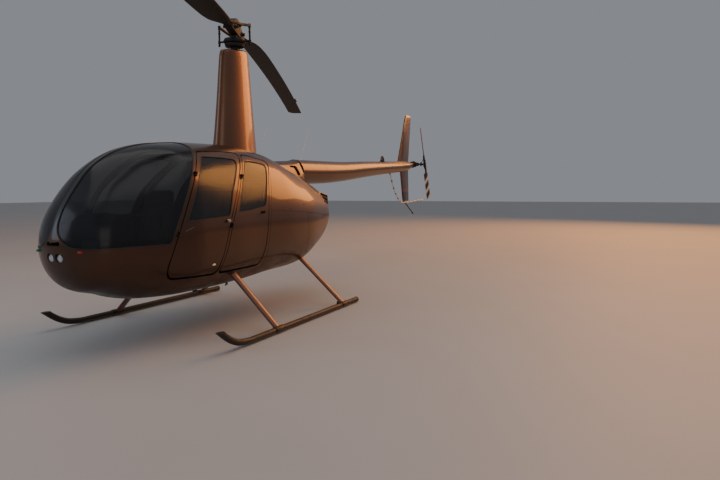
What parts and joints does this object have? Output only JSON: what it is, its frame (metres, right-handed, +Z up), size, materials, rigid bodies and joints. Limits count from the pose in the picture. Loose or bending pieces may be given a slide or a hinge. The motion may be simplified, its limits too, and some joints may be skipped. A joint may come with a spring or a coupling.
{
  "type": "light four-seat piston helicopter",
  "caption": "Light cabin helicopter on skids: teetering two-blade main rotor on a tall mast fairing, slim tail boom with fins and a side tail rotor, hinged cabin doors.",
  "frame": {"origin": "on the ground at the middle of the whole machine's box, 0.765 m behind the main rotor's axis, on the plane of symmetry of the fuselage", "axes": "+X forward along the fuselage to the nose, +Y to the port side, +Z up"},
  "size_m": [10.8794, 4.1646, 3.276],
  "materials": {
    "paint": "dark bronze metallic paint under a deep clear coat",
    "copper_paint": "lighter copper metallic paint, weathered along the leading edges",
    "dark_paint": "worn dark satin paint on steel tube",
    "blade_paint": "matt black erosion-resistant paint",
    "white_paint": "white and dark striped warning paint",
    "steel": "machined steel, lightly oiled",
    "cast_metal": "grey cast light alloy, oil-stained",
    "glass": "lightly tinted acrylic sheet",
    "trim": "dark grey textured cabin trim",
    "black_trim": "black crackle-finish panel and control trim",
    "leather": "grey-brown leather with sewn channels",
    "red_lens": "clear red lens",
    "green_lens": "clear green lens",
    "clear_lens": "clear lens over a bright reflector"
  },
  "bodies": {
    "airframe": {"fuselage_shell": "paint", "windscreen_left": "glass", "windscreen_right": "glass", "cabin_floor": "trim", "instrument_console": "black_trim", "front_seat_cushion_left": "leather", "front_seat_cushion_right": "leather", "front_seat_back_left": "leather", "front_seat_back_right": "leather", "rear_seat_cushion": "leather", "rear_seat_back": "leather", "cyclic_stick": "black_trim", "collective_left": "black_trim", "collective_centre": "black_trim", "pedals_left": "cast_metal", "pedals_right": "cast_metal", "engine_block": "cast_metal", "exhaust_pipe": "cast_metal", "cooling_fan": "cast_metal", "mast_fairing": "paint", "mast_tube": "steel", "spine_fairing": "paint", "tail_boom": "paint", "upper_fin": "paint", "lower_fin": "paint", "stabiliser": "paint", "tail_gearbox": "cast_metal", "tail_guard": "white_paint", "tail_skid": "dark_paint", "beacon": "red_lens", "skid_left": "dark_paint", "skid_right": "dark_paint", "front_leg_left": "copper_paint", "front_leg_right": "copper_paint", "rear_leg_left": "copper_paint", "rear_leg_right": "copper_paint", "nav_light_left": "red_lens", "nav_light_right": "green_lens", "landing_lights": "clear_lens", "front_aerial": "steel", "rear_aerial": "steel"},
    "main_rotor": {"rotor_shaft": "steel", "swashplate": "steel", "rotor_hub": "cast_metal", "main_blade_front": "blade_paint", "main_blade_rear": "blade_paint"},
    "tail_rotor": {"tail_rotor_hub": "steel", "tail_blade_upper": "blade_paint", "tail_blade_lower": "blade_paint"},
    "front_door_left": {"front_door_left": "paint", "front_door_window_left": "glass"},
    "front_door_right": {"front_door_right": "paint", "front_door_window_right": "glass"},
    "rear_door_left": {"rear_door_left": "paint", "rear_door_window_left": "glass"},
    "rear_door_right": {"rear_door_right": "paint", "rear_door_window_right": "glass"}
  },
  "joints": [
    {"name": "main_rotor_spin", "type": "hinge", "parent": "airframe", "child": "main_rotor", "pos_m": [0.765, 0, 3.1], "axis": [0, 0, 1], "continuous": true},
    {"name": "tail_rotor_spin", "type": "hinge", "parent": "airframe", "child": "tail_rotor", "pos_m": [-5.125, 0.25, 1.875], "axis": [0, 1, 0], "continuous": true},
    {"name": "front_door_left_hinge", "type": "hinge", "parent": "airframe", "child": "front_door_left", "pos_m": [2.103, 0.53513, 1.523], "axis": [0.5139, 0.111, -0.8506], "range_deg": [0, 75]},
    {"name": "front_door_right_hinge", "type": "hinge", "parent": "airframe", "child": "front_door_right", "pos_m": [2.103, -0.53513, 1.523], "axis": [-0.5139, 0.111, 0.8506], "range_deg": [0, 75]},
    {"name": "rear_door_left_hinge", "type": "hinge", "parent": "airframe", "child": "rear_door_left", "pos_m": [1.43, 0.55199, 1.512], "axis": [0.5312, 0.1818, -0.8275], "range_deg": [0, 75]},
    {"name": "rear_door_right_hinge", "type": "hinge", "parent": "airframe", "child": "rear_door_right", "pos_m": [1.43, -0.55199, 1.512], "axis": [-0.5312, 0.1818, 0.8275], "range_deg": [0, 75]}
  ],
  "couplings": [
    {"joint": "tail_rotor_spin", "follows": "main_rotor_spin", "ratio": -5.949}
  ]
}
